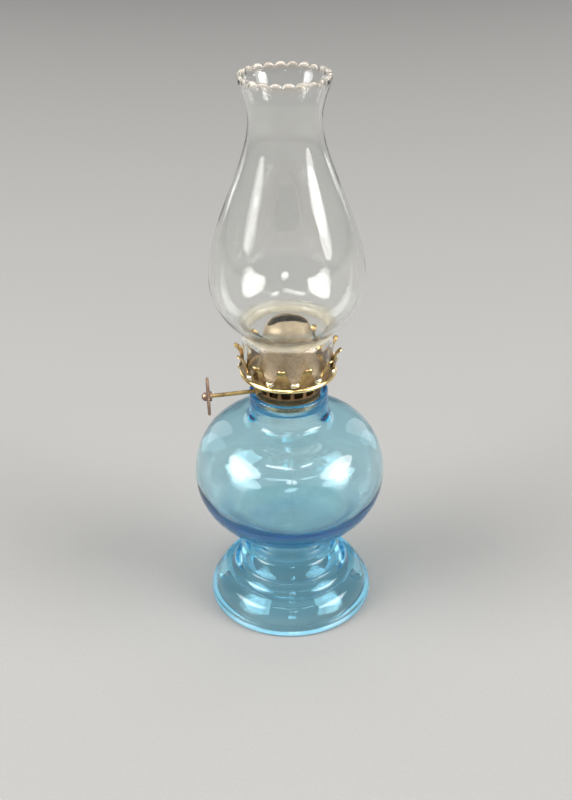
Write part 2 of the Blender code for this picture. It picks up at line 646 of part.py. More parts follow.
def build_wick():
    bm = prism_bmesh(slot_outline(*WICK, count=3), *WICK_Z)
    return finish_mesh("wick", bm, cotton("wick_cotton"), wick_guide)


# ================================================================ assembly
def add_empty(name, x, y, z, parent=None):
    empty = bpy.data.objects.new(name, None)
    empty.location = Vector((x * MM, y * MM, z * MM))
    bpy.context.scene.collection.objects.link(empty)
    if parent is not None:
        empty.parent = parent
        empty.matrix_parent_inverse = Matrix.Translation(-parent.location)
    return empty


for old in list(bpy.data.objects):
    bpy.data.objects.remove(old, do_unlink=True)

burner = add_empty("burner_axis", 0, 0, SCREW_Z[0])
shaft_axis = add_empty("shaft_axis", 0, SHAFT_Y, SHAFT_Z)
wick_guide = add_empty("wick_guide", 0, 0, TUBE_Z[0])

build_font()
build_screw_ring()
build_floor_plate()
build_air_band()
build_diffuser_plate()
build_gallery_crown()
build_flame_dome()
build_wick_tube()
build_tube_ferrule()
build_vent_tube()
build_sprocket_housing()
build_shaft_bushing()
build_wick_shaft()
build_star_wheel("star_wheel_left", -STAR_X)
build_star_wheel("star_wheel_right", STAR_X)
build_shaft_collar()
build_thumbwheel()
build_thumbwheel_rivet()
build_wick()
build_chimney()
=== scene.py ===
"""Looks of the miniature kerosene lamp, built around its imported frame.

Glass: font on its stepped foot, pear-shaped chimney with a crimped rim.
Brass: crown with twelve prongs, slotted dome, windowed band, rod and milled wheel.
Lengths in this file are millimetres, and become metres when a mesh is made.
"""

import math

import bmesh
import bpy
from mathutils import Matrix, Vector, noise


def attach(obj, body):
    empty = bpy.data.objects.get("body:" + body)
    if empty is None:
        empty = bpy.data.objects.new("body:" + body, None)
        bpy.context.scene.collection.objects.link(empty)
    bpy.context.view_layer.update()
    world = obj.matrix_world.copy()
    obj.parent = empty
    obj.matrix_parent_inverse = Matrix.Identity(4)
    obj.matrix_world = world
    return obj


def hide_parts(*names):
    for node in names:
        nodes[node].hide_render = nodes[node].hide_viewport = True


MM = 0.001

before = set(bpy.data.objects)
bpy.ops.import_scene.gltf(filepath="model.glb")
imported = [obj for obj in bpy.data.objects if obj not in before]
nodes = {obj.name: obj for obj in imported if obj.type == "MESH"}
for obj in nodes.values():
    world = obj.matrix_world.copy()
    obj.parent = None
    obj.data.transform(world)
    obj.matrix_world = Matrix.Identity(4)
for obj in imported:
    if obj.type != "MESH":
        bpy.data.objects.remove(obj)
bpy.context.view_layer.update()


# ================================================================ profiles
def bezier(p0, p1, p2, p3, count, first=True):
    out = []
    for i in range(0 if first else 1, count + 1):
        t = i / count
        a, b, c, d = (1 - t) ** 3, 3 * t * (1 - t) ** 2, 3 * t * t * (1 - t), t ** 3
        out.append((a * p0[0] + b * p1[0] + c * p2[0] + d * p3[0],
                    a * p0[1] + b * p1[1] + c * p2[1] + d * p3[1]))
    return out


def arc(centre, radius, start, stop, count):
    out = []
    for i in range(count + 1):
        a = math.radians(start + (stop - start) * i / count)
        out.append((centre[0] + radius * math.cos(a), centre[1] + radius * math.sin(a)))
    return out


def resample(points, step):
    """Evenly spaced points along a polyline, with its two ends kept."""
    lengths = [math.dist(a, b) for a, b in zip(points, points[1:])]
    total = sum(lengths)
    count = max(2, round(total / step))
    out, i, done = [points[0]], 0, 0.0
    for k in range(1, count):
        want = total * k / count
        while i < len(lengths) - 1 and done + lengths[i] < want:
            done += lengths[i]
            i += 1
        t = (want - done) / max(lengths[i], 1e-9)
        a, b = points[i], points[i + 1]
        out.append((a[0] + (b[0] - a[0]) * t, a[1] + (b[1] - a[1]) * t))
    out.append(points[-1])
    return out


def soften(points, passes):
    """Round the corners of an evenly spaced polyline a little."""
    for _ in range(passes):
        inner = [((a[0] + 2 * b[0] + c[0]) / 4, (a[1] + 2 * b[1] + c[1]) / 4)
                 for a, b, c in zip(points, points[1:], points[2:])]
        points = [points[0]] + inner + [points[-1]]
    return points


def thin(points, turn_deg, longest):
    """Drop points where the line is nearly straight."""
    out = [points[0]]
    turned = 0.0
    for i in range(1, len(points) - 1):
        a, b, c = points[i - 1], points[i], points[i + 1]
        u = math.atan2(b[1] - a[1], b[0] - a[0])
        v = math.atan2(c[1] - b[1], c[0] - b[0])
        turned += abs((v - u + math.pi) % (2 * math.pi) - math.pi)
        if math.degrees(turned) >= turn_deg or math.dist(out[-1], c) > longest:
            out.append(b)
            turned = 0.0
    out.append(points[-1])
    return out


def even_angles(count, extra=()):
    """Angles of a lathe's columns in radians, with a few more beside the given degrees."""
    angles = {round(360.0 * k / count, 4) for k in range(count)}
    for centre in extra:
        angles |= {round((centre + d) % 360.0, 4) for d in (-0.9, -0.55, -0.28, 0.0, 0.28, 0.55, 0.9)}
    return [math.radians(a) for a in sorted(angles)]


# ================================================================ meshes
def to_object(name, bm, material, body, smooth_deg=40.0, recalc=True):
    bmesh.ops.remove_doubles(bm, verts=bm.verts[:], dist=1e-5)
    if recalc:
        bmesh.ops.recalc_face_normals(bm, faces=bm.faces[:])
    bmesh.ops.scale(bm, vec=(MM, MM, MM), verts=bm.verts[:])
    mesh = bpy.data.meshes.new(name)
    bm.to_mesh(mesh)
    bm.free()
    mesh.shade_smooth()
    if smooth_deg < 180:
        mesh.set_sharp_from_angle(angle=math.radians(smooth_deg))
    mesh.materials.append(material)
    obj = bpy.data.objects.new(name, mesh)
    bpy.context.scene.collection.objects.link(obj)
    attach(obj, body)
    return obj


def grid_bmesh(rings, closed_rows=False, closed_cols=True):
    """Skin rows of points; a row that is one point is a pole."""
    bm = bmesh.new()
    rows = [[bm.verts.new(p) for p in ring] for ring in rings]
    pairs = list(zip(rows, rows[1:]))
    if closed_rows:
        pairs.append((rows[-1], rows[0]))
    for a, b in pairs:
        n = max(len(a), len(b))
        for k in range(n if closed_cols else n - 1):
            j = (k + 1) % n
            if len(a) == 1 and len(b) == 1:
                continue
            if len(a) == 1:
                bm.faces.new((a[0], b[k], b[j]))
            elif len(b) == 1:
                bm.faces.new((a[k], b[0], a[j]))
            else:
                bm.faces.new((a[k], b[k], b[j], a[j]))
    return bm


def lathe(profile, angles, shape=None, closed=False):
    """Turn a profile about Z; shape(r, z, a, i) may move each point."""
    rings = []
    for i, (r, z) in enumerate(profile):
        if r < 1e-6:
            rings.append([(0.0, 0.0, z)])
            continue
        ring = []
        for a in angles:
            rr, zz = shape(r, z, a, i) if shape else (r, z)
            ring.append((rr * math.cos(a), rr * math.sin(a), zz))
        rings.append(ring)
    return grid_bmesh(rings, closed_rows=closed)


def box_bmesh(low, high):
    bm = bmesh.new()
    bmesh.ops.create_cube(bm, size=1.0)
    bmesh.ops.scale(bm, vec=[b - a for a, b in zip(low, high)], verts=bm.verts[:])
    bmesh.ops.translate(bm, vec=[(a + b) / 2 for a, b in zip(low, high)], verts=bm.verts[:])
    return bm


def slot_outline(width, depth, count=5):
    r = depth / 2.0
    half = width / 2.0 - r
    pts = []
    for side, start in ((1, -90.0), (-1, 90.0)):
        for i in range(count + 1):
            a = math.radians(start + 180.0 * i / count)
            pts.append((side * half + r * math.cos(a), r * math.sin(a)))
    return pts


def turn_to_x(x, y, z):
    return Matrix.Translation((x, y, z)) @ Matrix.Rotation(math.pi / 2, 4, "Y")


def subtract(obj, cutters):
    """Cut closed shapes, in millimetres, out of an object and keep the result."""
    for bm in cutters:
        bmesh.ops.recalc_face_normals(bm, faces=bm.faces[:])
        bmesh.ops.scale(bm, vec=(MM, MM, MM), verts=bm.verts[:])
        mesh = bpy.data.meshes.new("cutter")
        bm.to_mesh(mesh)
        bm.free()
        cutter = bpy.data.objects.new("cutter", mesh)
        bpy.context.scene.collection.objects.link(cutter)
        modifier = obj.modifiers.new("cut", "BOOLEAN")
        modifier.operation = "DIFFERENCE"
        modifier.solver = "EXACT"
        modifier.object = cutter
        apply_modifiers(obj)
        bpy.data.objects.remove(cutter)
        bpy.data.meshes.remove(mesh)


def apply_modifiers(obj):
    depsgraph = bpy.context.evaluated_depsgraph_get()
    depsgraph.update()
    mesh = bpy.data.meshes.new_from_object(obj.evaluated_get(depsgraph))
    old = obj.data
    obj.modifiers.clear()
    obj.data = mesh
    mesh.name = obj.name
    bpy.data.meshes.remove(old)


def ripple(x, y, z, size, seed=0.0):
    """Smooth unevenness of blown or pressed glass, from -1 to 1."""
    return noise.noise(Vector((x / size + seed, y / size - seed, z / size + 0.37 * seed)))


# ================================================================ materials
class Nodes:
    """A short way to write a Principled material with nodes."""

    def __init__(self, name):
        self.material = bpy.data.materials.new(name)
        self.material.use_nodes = True
        self.tree = self.material.node_tree
        self.shader = self.tree.nodes["Principled BSDF"]
        self.output = self.tree.nodes["Material Output"]
        self.coords = self.new("ShaderNodeTexCoord").outputs["Object"]

    def new(self, kind, **settings):
        node = self.tree.nodes.new(kind)
        for key, value in settings.items():
            setattr(node, key, value)
        return node

    def link(self, a, b):
        self.tree.links.new(a, b)

    def set(self, **values):
        for key, value in values.items():
            self.shader.inputs[key.replace("_", " ")].default_value = value

    def stretched(self, x, y, z):
        node = self.new("ShaderNodeMapping")
        node.inputs["Scale"].default_value = (x, y, z)
        self.link(self.coords, node.inputs["Vector"])
        return node.outputs["Vector"]

    def noise(self, scale, detail=3.0, rough=0.55, vector=None, distortion=0.0):
        node = self.new("ShaderNodeTexNoise")
        node.inputs["Scale"].default_value = scale
        node.inputs["Detail"].default_value = detail
        node.inputs["Roughness"].default_value = rough
        node.inputs["Distortion"].default_value = distortion
        self.link(vector or self.coords, node.inputs["Vector"])
        return node.outputs["Fac"]

    def remap(self, value, low, high, to_low=0.0, to_high=1.0, smooth=False):
        node = self.new("ShaderNodeMapRange")
        node.interpolation_type = "SMOOTHSTEP" if smooth else "LINEAR"
        node.inputs["From Min"].default_value = low
        node.inputs["From Max"].default_value = high
        node.inputs["To Min"].default_value = to_low
        node.inputs["To Max"].default_value = to_high
        self.link(value, node.inputs["Value"])
        return node.outputs["Result"]

    def maths(self, operation, a, b):
        node = self.new("ShaderNodeMath", operation=operation)
        for socket, value in zip(node.inputs, (a, b)):
            if isinstance(value, (int, float)):
                socket.default_value = value
            else:
                self.link(value, socket)
        return node.outputs[0]

    def mix(self, factor, a, b):
        node = self.new("ShaderNodeMix", data_type="RGBA")
        self.link(factor, node.inputs["Factor"])
        for name, value in (("A", a), ("B", b)):
            socket = [s for s in node.inputs if s.name == name and s.type == "RGBA"][0]
            if isinstance(value, tuple):
                socket.default_value = (*value, 1.0)
            else:
                self.link(value, socket)
        return [s for s in node.outputs if s.type == "RGBA"][0]

    def height(self):
        node = self.new("ShaderNodeSeparateXYZ")
        self.link(self.coords, node.inputs[0])
        return node.outputs["Z"]

    def radius(self):
        node = self.new("ShaderNodeSeparateXYZ")
        self.link(self.coords, node.inputs[0])
        squares = [self.maths("MULTIPLY", node.outputs[k], node.outputs[k]) for k in (0, 1)]
        return self.maths("SQRT", self.maths("ADD", *squares), 0.0)

    def edges(self):
        return self.new("ShaderNodeNewGeometry").outputs["Pointiness"]

    def bump(self, height, strength, distance, under=None):
        node = self.new("ShaderNodeBump")
        node.inputs["Strength"].default_value = strength
        node.inputs["Distance"].default_value = distance
        self.link(height, node.inputs["Height"])
        if under is not None:
            self.link(under, node.inputs["Normal"])
        return node.outputs["Normal"]

    def into(self, socket, value):
        self.link(value, self.shader.inputs[socket])


def glass_material(name, tints, absorb, density, rough, ripples, warm_rim_painted_reflection=None, ground=False):
    m = Nodes(name)
    m.set(Roughness=0.0, IOR=1.5, Transmission_Weight=1.0, Metallic=0.0)
    cloud = m.noise(110.0, 3.0)
    colour = m.mix(m.remap(cloud, 0.35, 0.7), tints[0], tints[1])
    # painted reflection: the rim top is tinted warm in patches
    if warm_rim_painted_reflection is not None:
        low, high, warm = warm_rim_painted_reflection
        edge = m.remap(m.height(), low * MM, high * MM, 0.0, 0.85, smooth=True)
        patchy = m.maths("MULTIPLY", edge, m.remap(m.noise(60.0, 2.0), 0.3, 0.65, 0.55, 1.0))
        colour = m.mix(patchy, colour, warm)
    m.into("Base Color", colour)
    dust = m.noise(420.0, 5.0, 0.65)
    haze = m.remap(dust, 0.42, 0.78, rough[0], rough[1])
    if warm_rim_painted_reflection is not None:    # the fold over the fitter is a little rough, and carries a painted creamy reflection; the rim top carries a painted warm reflection
        fold = m.maths("MULTIPLY", m.remap(m.height(), 108.6 * MM, 110.4 * MM, 0.0, 1.0, smooth=True),
                       m.remap(m.height(), 113.4 * MM, 111.6 * MM, 0.0, 1.0, smooth=True))
        haze = m.maths("ADD", haze, m.maths("MULTIPLY", fold, 0.22))
        painted_milky_reflection = m.maths("MULTIPLY", fold, m.remap(m.noise(140.0, 3.0), 0.3, 0.7, 0.28, 0.55))
        # painted reflection: the rim top lets less light through, so its warm tint shows
        edge = m.maths("MULTIPLY", m.remap(m.height(), (low + 1.6) * MM, (high + 0.2) * MM, 0.0, 1.0, smooth=True),
                       m.remap(m.noise(210.0, 3.0), 0.35, 0.65, 0.14, 0.40))
        m.into("Transmission Weight", m.maths("SUBTRACT", 1.0, m.maths("ADD", painted_milky_reflection, edge)))
        m.into("Base Color", m.mix(fold, colour, (0.97, 0.91, 0.74)))
    if ground:
        # the pressed foot is a little deeper in colour than the blown bowl, except at its rim
        stem = m.maths("MULTIPLY", m.remap(m.height(), 4.0 * MM, 9.0 * MM, 0.0, 1.0, smooth=True),
                       m.remap(m.height(), 34.0 * MM, 27.0 * MM, 0.0, 1.0, smooth=True))
        colour = m.mix(stem, colour, (0.80, 0.945, 1.0))
        m.into("Base Color", colour)
        # dried oil leaves a film on the floor inside, and the plunger a dull top to the hollow foot
        height, radius = m.height(), m.radius()
        floor_side = m.remap(m.maths("SUBTRACT", m.maths("MULTIPLY", height, 1.55), radius), 34.2 * MM, 35.2 * MM)
        film = m.maths("MULTIPLY", floor_side, m.remap(height, 32.6 * MM, 33.1 * MM))
        film = m.maths("MULTIPLY", film, m.remap(height, 45.0 * MM, 38.0 * MM, 0.0, 0.60, smooth=True))
        cake = m.maths("MULTIPLY", m.maths("MULTIPLY", film, m.remap(height, 39.5 * MM, 36.5 * MM, 0.0, 1.0, smooth=True)),
                       m.remap(m.noise(75.0, 4.0, 0.6), 0.30, 0.65, 0.55, 1.15))
        m.into("Transmission Weight", m.maths("SUBTRACT", 1.0, cake))
        m.into("Base Color", m.mix(m.remap(cake, 0.05, 0.5), colour, (0.42, 0.56, 0.56)))
        dull = m.maths("MULTIPLY", m.remap(radius, 13.1 * MM, 12.3 * MM), m.remap(height, 15.0 * MM, 24.0 * MM, 0.0, 0.50, smooth=True))
        dull = m.maths("MULTIPLY", dull, m.remap(height, 31.6 * MM, 31.2 * MM))
        neck = m.maths("MULTIPLY", m.remap(radius, 12.7 * MM, 12.2 * MM), m.remap(height, 76.5 * MM, 80.0 * MM, 0.0, 0.30, smooth=True))
        haze = m.maths("ADD", m.maths("ADD", haze, neck), m.maths("ADD", film, dull))
    m.into("Roughness", haze)
    swell = m.bump(m.noise(85.0, 1.5), ripples[0], 0.0006)
    swell = m.bump(m.noise(300.0, 2.0), ripples[1], 0.0002, swell)
    m.into("Normal", swell)
    volume = m.new("ShaderNodeVolumeAbsorption")
    volume.inputs["Color"].default_value = (*absorb, 1.0)
    volume.inputs["Density"].default_value = density
    m.link(volume.outputs[0], m.output.inputs["Volume"])
    return m.material


def brass_material(name, bright, dull, dark, tarnish, rough, seed=0.0, edge_wear=0.6, painted_shade_belt=None):
    """Old brass: worn bright on its edges, brown in its hollows. An optional belt of painted shade may be added, with
    painted highlights on the lowest rim and the knuckles.
    """
    m = Nodes(name)
    m.set(Metallic=1.0, IOR=1.5)
    shift = m.new("ShaderNodeMapping")
    shift.inputs["Location"].default_value = (seed, -seed, 0.5 * seed)
    m.link(m.coords, shift.inputs["Vector"])
    place = shift.outputs["Vector"]
    clouds = m.noise(260.0, 5.0, 0.6, place, 0.4)
    spots = m.noise(1500.0, 3.0, 0.6, place)
    colour = m.mix(m.remap(clouds, tarnish - 0.16, tarnish + 0.16), bright, dull)
    specks = m.remap(spots, 0.60, 0.74)
    colour = m.mix(m.maths("MULTIPLY", specks, 0.65), colour, dark)
    if painted_shade_belt is not None:      # a belt of painted shade between heights, standing for the dark lower faces of the prongs
        z0, z1, z2, z3, amount = painted_shade_belt
        painted_shade_mask = m.maths("MULTIPLY", m.remap(m.height(), z0 * MM, z1 * MM, 0.0, amount, smooth=True),
                       m.remap(m.height(), z3 * MM, z2 * MM, 0.0, 1.0, smooth=True))
        painted_shade_mask = m.maths("MULTIPLY", painted_shade_mask, m.remap(m.noise(190.0, 3.0, 0.6, place), 0.36, 0.58, 0.45, 1.0))
        colour = m.mix(painted_shade_mask, colour, (0.17, 0.10, 0.05))
        painted_rim_highlight = m.remap(m.height(), 95.7 * MM, 95.4 * MM, 0.0, 0.9)      # painted highlight: its lowest rim is painted bright gold
        colour = m.mix(painted_rim_highlight, colour, (0.98, 0.77, 0.36))
        # painted highlight: the knuckle bulges between the prongs are painted pale
        painted_knuckle_highlight = m.maths("MULTIPLY", m.remap(m.radius(), 16.55 * MM, 16.9 * MM, 0.0, 0.9),
                           m.maths("MULTIPLY", m.remap(m.height(), 96.0 * MM, 96.4 * MM), m.remap(m.height(), 98.9 * MM, 98.3 * MM)))
        colour = m.mix(painted_knuckle_highlight, colour, (1.0, 0.91, 0.68))
    worn_and_painted_bright = m.remap(m.edges(), 0.515, 0.58, 0.0, edge_wear)
    colour = m.mix(worn_and_painted_bright, colour, tuple(min(1.0, c * 1.12) for c in bright))
    hollow = m.remap(m.edges(), 0.485, 0.43, 0.0, 0.8)
    colour = m.mix(hollow, colour, dark)
    m.into("Base Color", colour)
    patina = m.maths("ADD", m.remap(clouds, 0.35, 0.7, rough[0], rough[1]), m.remap(spots, 0.5, 0.75, 0.0, 0.12))
    m.into("Roughness", patina)
    normal = m.bump(clouds, 0.18, 0.0003)
    normal = m.bump(spots, 0.10, 0.00005, normal)
    m.into("Normal", normal)
    return m.material


def cotton_material(name):
    m = Nodes(name)
    m.set(IOR=1.4)
    warp = m.new("ShaderNodeTexWave", wave_type="BANDS", bands_direction="X", wave_profile="SIN")
    warp.inputs["Scale"].default_value = 420.0
    warp.inputs["Distortion"].default_value = 0.6
    weft = m.new("ShaderNodeTexWave", wave_type="BANDS", bands_direction="Z", wave_profile="SIN")
    weft.inputs["Scale"].default_value = 330.0
    weft.inputs["Distortion"].default_value = 0.6
    for wave in (warp, weft):
        m.link(m.coords, wave.inputs["Vector"])
    weave = m.maths("MULTIPLY", warp.outputs["Fac"], weft.outputs["Fac"])
    fuzz = m.noise(2600.0, 4.0, 0.7)
    colour = m.mix(weave, (0.50, 0.45, 0.36), (0.78, 0.74, 0.65))
    char = m.maths("ADD", m.remap(m.height(), 108.9 * MM, 110.6 * MM), m.remap(m.noise(500.0, 3.0), 0.4, 0.6, -0.25, 0.25))
    colour = m.mix(m.remap(char, 0.25, 0.75), colour, (0.022, 0.019, 0.017))
    m.into("Base Color", colour)
    m.into("Roughness", m.remap(fuzz, 0.3, 0.7, 0.8, 1.0))
    m.into("Normal", m.bump(m.maths("ADD", weave, fuzz), 0.7, 0.00012))
    return m.material


def painted_bright_ring_material(name):
    """The flat ring that the foot stands on: scuffed, and painted white as painted light that brightens the foot's
    flange.
    """
    m = Nodes(name)
    m.set(Metallic=0.0, IOR=1.5)
    scuff = m.noise(700.0, 4.0, 0.7)
    m.into("Base Color", m.mix(m.remap(scuff, 0.3, 0.7), (0.86, 0.95, 0.97), (0.70, 0.86, 0.90)))
    m.into("Roughness", m.remap(scuff, 0.3, 0.7, 0.6, 0.85))
    m.into("Normal", m.bump(scuff, 0.3, 0.0001))
    return m.material


aqua = glass_material("aqua_glass", ((0.985, 1.0, 1.0), (0.955, 0.995, 1.0)), (0.03, 0.778, 0.975), 102.0,
                      (0.0, 0.03), (0.10, 0.06), ground=True)
# the chimney glass carries painted reflections on its rim top and on the fold over the fitter
clear = glass_material("clear_glass", ((0.995, 0.995, 0.99), (0.97, 0.975, 0.97)), (0.82, 0.86, 0.80), 60.0,
                       (0.0, 0.04), (0.08, 0.05), warm_rim_painted_reflection=(193.2, 195.8, (1.0, 0.87, 0.72)))
GOLD, DULL, BROWN = (0.83, 0.62, 0.28), (0.50, 0.35, 0.16), (0.10, 0.06, 0.03)
# the crown's gilt carries a belt of painted shade, and painted highlights on its lowest rim and knuckles
gilt = brass_material("gilt_brass", (0.80, 0.58, 0.25), (0.46, 0.30, 0.12), (0.12, 0.07, 0.03), 0.49, (0.13, 0.28), 0.0, 0.9,
                      painted_shade_belt=(95.4, 95.9, 98.0, 101.5, 0.85))
dome_brass = brass_material("dome_brass", (0.64, 0.52, 0.36), (0.47, 0.375, 0.255), (0.16, 0.11, 0.075), 0.54, (0.58, 0.74), 0.7, 0.4)
aged = brass_material("aged_brass", (0.56, 0.39, 0.17), (0.30, 0.19, 0.09), BROWN, 0.50, (0.32, 0.55), 1.3, 0.6)
dark = brass_material("dark_brass", (0.66, 0.47, 0.20), (0.30, 0.20, 0.09), BROWN, 0.50, (0.28, 0.50), 2.1, 0.5)
band = brass_material("band_brown_brass", (0.32, 0.20, 0.10), (0.16, 0.10, 0.05), (0.05, 0.03, 0.02), 0.48, (0.34, 0.55), 5.1, 0.4)
inner = brass_material("inner_brass", (0.32, 0.22, 0.10), (0.18, 0.12, 0.06), BROWN, 0.52, (0.35, 0.60), 3.4, 0.4)
copper = brass_material("copper_brown_brass", (0.38, 0.26, 0.19), (0.23, 0.15, 0.11), (0.06, 0.04, 0.03), 0.50, (0.34, 0.55), 4.2, 0.5)
cotton = cotton_material("wick_cotton")
# painted light: the foot's floor ring is white so that the flange shows bright
worn_and_painted_bright = painted_bright_ring_material("scuffed_ring_painted_bright")


# ================================================================ font
SEAMS = (-100.0, 80.0)              # the two halves of the mould meet here
FOOT_R = 30.25
FONT_R, FONT_WIDEST_Z = 34.0, 53.6


def font_profile():
    hollow = [(0.0, 30.2)]
    hollow += bezier((0.0, 30.2), (5.0, 30.2), (9.8, 29.4), (10.7, 26.6), 12, first=False)
    hollow += bezier((10.7, 26.6), (11.3, 23.8), (12.7, 20.4), (14.6, 16.8), 14, first=False)
    hollow += bezier((14.6, 16.8), (16.0, 14.2), (17.4, 11.0), (20.0, 9.3), 10, first=False)
    hollow += bezier((20.0, 9.3), (24.4, 7.0), (25.8, 4.4), (26.4, 1.2), 16, first=False)
    hollow += [(26.9, 0.0)]
    hollow = thin(soften(resample(hollow, 0.35), 4), 4.0, 1.2)
    outer = [(26.9, 0.0), (29.3, 0.0)]
    outer += arc((FOOT_R - 1.0, 1.0), 1.0, -60, 75, 10)
    outer += [(FOOT_R - 0.62, 2.05)]
    outer += arc((FOOT_R - 1.1, 3.0), 0.85, -55, 80, 8)
    outer += bezier((FOOT_R - 1.75, 4.0), (FOOT_R - 2.2, 6.6), (27.6, 9.6), (24.1, 10.55), 18)
    outer += bezier((24.1, 10.55), (23.4, 10.8), (22.9, 10.9), (22.55, 10.45), 5, first=False)
    for r_out, r_in, z0, z1, dip in ((22.5, 19.4, 10.9, 14.0, 0.7), (18.7, 16.3, 15.3, 22.3, 0.75), (15.9, 14.4, 22.8, 25.6, 0.6)):
        outer += [(r_out - dip, z0 - 0.35), (r_out - dip, z0)]
        outer += bezier((r_out - 0.2, z0 + 0.35), (r_out + 0.30, z0 + 0.50 * (z1 - z0)),
                        (r_in + 0.55 * (r_out - r_in), z1 + 0.25), (r_in + 0.1, z1), 14)
    outer += bezier((13.85, 26.1), (13.6, 27.0), (13.85, 28.0), (14.5, 29.1), 5)
    outer += bezier((14.5, 29.1), (15.2, 30.4), (18.0, 31.2), (21.0, 33.15), 8, first=False)
    outer += bezier((21.0, 33.15), (24.6, 35.7), (FONT_R, FONT_WIDEST_Z - 11.8), (FONT_R, FONT_WIDEST_Z), 26, first=False)
    outer += bezier((FONT_R, FONT_WIDEST_Z), (FONT_R, FONT_WIDEST_Z + 13.0), (27.2, 73.5), (17.8, 75.9), 26, first=False)
    outer += bezier((17.8, 75.9), (15.4, 76.5), (13.9, 77.4), (13.9, 79.6), 8, first=False)
    outer += [(13.9, 82.6), (13.85, 84.4), (13.45, 85.3), (13.35, 85.65), (13.5, 85.95)] + arc((13.05, 86.4), 0.8, 0, 88, 6)
    outer = thin(soften(resample(outer, 0.2), 3), 4.5, 1.6)
    inner_side = arc((12.6, 86.3), 0.85, 100, 175, 5) + [(11.7, 84.6), (11.6, 83.0), (10.95, 82.3), (10.8, 81.4), (10.8, 78.8)]
    inner_side += bezier((10.8, 78.6), (11.0, 74.2), (13.6, 72.8), (17.8, 72.0), 10, first=False)
    inner_side += bezier((17.8, 72.0), (26.2, 69.8), (32.35, 65.4), (32.35, 53.6), 20, first=False)
    inner_side += bezier((32.35, 53.6), (32.35, 47.0), (27.6, 41.5), (19.2, 37.0), 20, first=False)
    inner_side += bezier((19.2, 37.0), (14.4, 34.4), (8.0, 33.2), (0.0, 33.2), 12, first=False)
    inner_side = thin(soften(resample(inner_side, 0.3), 4), 4.5, 1.6)
    return hollow, outer, inner_side


def build_font():
    hollow, outer, inner_side = font_profile()
    n_hollow, n_outer = len(hollow), len(hollow) + len(outer) - 1

    def shape(r, z, a, i):
        x, y = r * math.cos(a), r * math.sin(a)
        if i >= n_outer:            # inside of the bowl, blown, so less even
            keep = min(1.0, max(0.0, (80.0 - z) / 6.0))
            return r + keep * (0.22 * ripple(x, y, z, 15.0, 4.1) + 0.05 * ripple(x, y, z, 6.0, 9.3)), \
                z + keep * 0.25 * ripple(x, y, 0.0, 13.0, 2.2) * min(1.0, r / 4.0)
        if i < n_hollow:
            keep = min(1.0, z / 3.0) * min(1.0, r / 4.0)
            return r + keep * 0.18 * ripple(x, y, z, 12.0, 6.6), z + keep * 0.1 * ripple(x, y, z, 9.0, 1.6)
        keep = min(1.0, z / 2.0) * min(1.0, max(0.0, (87.2 - z) / 3.0))
        move = keep * (0.055 * ripple(x, y, z, 13.0, 0.4) + 0.012 * ripple(x, y, z, 4.5, 5.2))
        for seam in SEAMS:
            off = (math.degrees(a) - seam + 180.0) % 360.0 - 180.0
            if abs(off) < 1.0:
                move += 0.085 * keep * math.exp(-(off / 0.34) ** 2)
        return r + move, z

    profile = hollow + outer[1:] + inner_side[1:] if math.dist(hollow[-1], outer[0]) < 1e-6 else hollow + outer + inner_side
    bm = lathe(profile, even_angles(168, SEAMS), shape)
    obj = to_object("font_glass", bm, aqua, "lamp_base", smooth_deg=70.0)
    # the floor ring of the foot gets the white ring material, painted light for the flange
    obj.data.materials.append(worn_and_painted_bright)
    for face in obj.data.polygons:
        if face.center.z < 0.02 * MM and abs(face.normal.z) > 0.9:
            face.material_index = 1
    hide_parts("font")
    return obj


# ================================================================ chimney
RIM_TOP = 196.5
CRIMPS = 22
CRIMP_DEPTH = 1.15
CRIMP_PHASE = math.radians(2.0)


def chimney_profile():
    w = 1.3
    outer = [(15.05, 95.1)] + arc((14.9, 95.7), 0.6, -70, 0, 4) + [(15.5, 103.0), (15.5, 109.4)]
    outer += bezier((15.5, 110.2), (15.75, 111.5), (16.6, 112.0), (17.6, 112.75), 6)
    outer += bezier((17.6, 112.75), (21.2, 115.4), (26.05, 122.2), (26.05, 130.0), 20, first=False)
    outer += bezier((26.05, 130.0), (26.05, 148.1), (11.6, 167.9), (11.6, 182.5), 30, first=False)
    outer += bezier((11.6, 182.5), (11.6, 188.2), (14.55, 192.5), (14.42, 195.3), 14, first=False)
    outer = thin(soften(resample(outer, 0.3), 4), 3.0, 2.4)
    rim = arc((13.72, 195.75), 0.72, -10, 190, 12)[1:-1]
    inside = bezier((13.05, 195.3), (13.05, 192.4), (10.45, 188.2), (10.35, 182.5), 12)
    inside += bezier((10.35, 182.5), (10.35, 167.9), (26.05 - w, 147.6), (26.05 - w, 130.0), 28, first=False)
    inside += bezier((26.05 - w, 130.0), (26.05 - w, 122.6), (20.4, 116.6), (16.6, 113.7), 16, first=False)
    inside += bezier((16.6, 113.7), (14.9, 112.7), (13.3, 112.0), (13.3, 110.3), 8, first=False)
    inside += bezier((13.3, 110.3), (13.3, 108.9), (14.2, 108.2), (14.2, 106.6), 6, first=False)
    inside += [(14.2, 103.0), (14.2, 95.7), (14.45, 95.15)]
    inside = thin(soften(resample(inside, 0.35), 4), 3.0, 2.4)
    return outer, rim, inside


def crimp(a):
    """Broad scallops with narrow dips between them, from 0 at a dip to 1."""
    wave = abs(math.cos((a - CRIMP_PHASE) * CRIMPS / 2.0))
    return 1.0 - (1.0 - wave ** 0.85) ** 1.25


